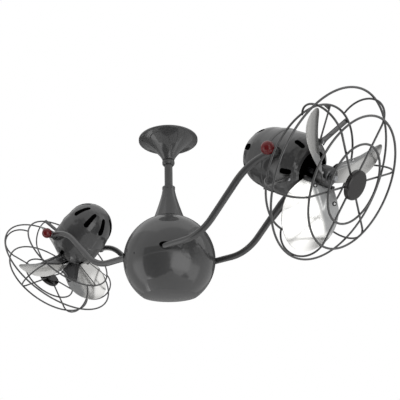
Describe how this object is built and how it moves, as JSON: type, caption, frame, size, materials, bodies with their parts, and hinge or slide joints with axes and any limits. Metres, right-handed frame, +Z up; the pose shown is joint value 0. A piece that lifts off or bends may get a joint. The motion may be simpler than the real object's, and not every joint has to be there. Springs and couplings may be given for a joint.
{
  "type": "twin head ceiling fan",
  "caption": "Ceiling fan with caged, tilting fan heads on bent yoke tubes that swing round a central globe below a trumpet canopy.",
  "frame": {"origin": "centre of the ceiling plane on the downrod's axis, where the bracket plate meets the ceiling", "axes": "+Z up into the ceiling, the fan hangs towards -Z; the two heads point along +X and -X at rest; the clamp knobs are on the -Y side"},
  "size_m": [1.2708, 0.404, 0.4805],
  "materials": {
    "dark_paint": "gloss",
    "dark_alloy": "gloss",
    "cast_alloy": "satin",
    "zinc_steel": "satin",
    "bearing_steel": "polished",
    "black_rubber": "matte",
    "copper_winding": "satin",
    "blade_metal": "satin",
    "dark_hub": "satin",
    "red_gloss": "gloss"
  },
  "bodies": {
    "ceiling_mount": {"hanger_bracket": "zinc_steel", "hanger_ball": "black_rubber", "hanger_pin": "zinc_steel", "downrod": "dark_paint", "canopy": "dark_alloy", "canopy_collar": "dark_paint", "neck_cone": "dark_alloy", "rod_coupling": "zinc_steel", "coupling_pins": "zinc_steel", "spindle": "zinc_steel", "spindle_nut": "zinc_steel", "slip_ring": "copper_winding"},
    "yoke": {"upper_shell": "dark_alloy", "lower_shell": "dark_alloy", "bottom_cap": "dark_alloy", "turning_hub": "cast_alloy", "hub_bearings": "bearing_steel", "tube_clamps": "zinc_steel", "clamp_screws": "zinc_steel", "tube_grommets": "black_rubber", "front_yoke_tube": "dark_paint", "rear_yoke_tube": "dark_paint", "brush_block": "black_rubber"},
    "head_right": {"rear_motor_shell_right": "dark_alloy", "front_motor_shell_right": "dark_alloy", "stator_right": "copper_winding", "shaft_bearings_right": "bearing_steel", "far_pivot_bolt_right": "zinc_steel", "pivot_washers_right": "black_rubber", "cage_rings_right": "dark_paint", "cage_wires_right": "dark_paint", "cage_struts_right": "dark_paint", "cage_cap_right": "dark_paint", "cage_screws_right": "zinc_steel"},
    "rotor_right": {"motor_shaft_right": "zinc_steel", "rotor_core_right": "zinc_steel", "blade_hub_right": "dark_hub", "blades_right": "blade_metal", "blade_rivets_right": "bearing_steel"},
    "knob_body_right": {"knob_right": "red_gloss", "knob_stud_right": "zinc_steel"},
    "head_left": {"rear_motor_shell_left": "dark_alloy", "front_motor_shell_left": "dark_alloy", "stator_left": "copper_winding", "shaft_bearings_left": "bearing_steel", "far_pivot_bolt_left": "zinc_steel", "pivot_washers_left": "black_rubber", "cage_rings_left": "dark_paint", "cage_wires_left": "dark_paint", "cage_struts_left": "dark_paint", "cage_cap_left": "dark_paint", "cage_screws_left": "zinc_steel"},
    "rotor_left": {"motor_shaft_left": "zinc_steel", "rotor_core_left": "zinc_steel", "blade_hub_left": "dark_hub", "blades_left": "blade_metal", "blade_rivets_left": "bearing_steel"},
    "knob_body_left": {"knob_left": "red_gloss", "knob_stud_left": "zinc_steel"}
  },
  "joints": [
    {"name": "yoke_spin", "type": "hinge", "parent": "ceiling_mount", "child": "yoke", "pos_m": [0, 0, -0.372], "axis": [0, 0, 1], "continuous": true},
    {"name": "tilt_right", "type": "hinge", "parent": "yoke", "child": "head_right", "pos_m": [0.4095, 0, -0.22246], "axis": [0, 1, 0], "range_deg": [-60, 40]},
    {"name": "rotor_spin_right", "type": "hinge", "parent": "head_right", "child": "rotor_right", "pos_m": [0.49531, 0, -0.28121], "axis": [0.8251, 0, -0.565], "continuous": true},
    {"name": "knob_turn_right", "type": "hinge", "parent": "head_right", "child": "knob_body_right", "pos_m": [0.4095, -0.118, -0.22246], "axis": [0, -1, 0], "range_deg": [-180, 180]},
    {"name": "tilt_left", "type": "hinge", "parent": "yoke", "child": "head_left", "pos_m": [-0.4095, 0, -0.22246], "axis": [0, -1, 0], "range_deg": [-60, 40]},
    {"name": "rotor_spin_left", "type": "hinge", "parent": "head_left", "child": "rotor_left", "pos_m": [-0.49531, 0, -0.28121], "axis": [-0.8251, 0, -0.565], "continuous": true},
    {"name": "knob_turn_left", "type": "hinge", "parent": "head_left", "child": "knob_body_left", "pos_m": [-0.4095, -0.118, -0.22246], "axis": [0, -1, 0], "range_deg": [-180, 180]}
  ]
}
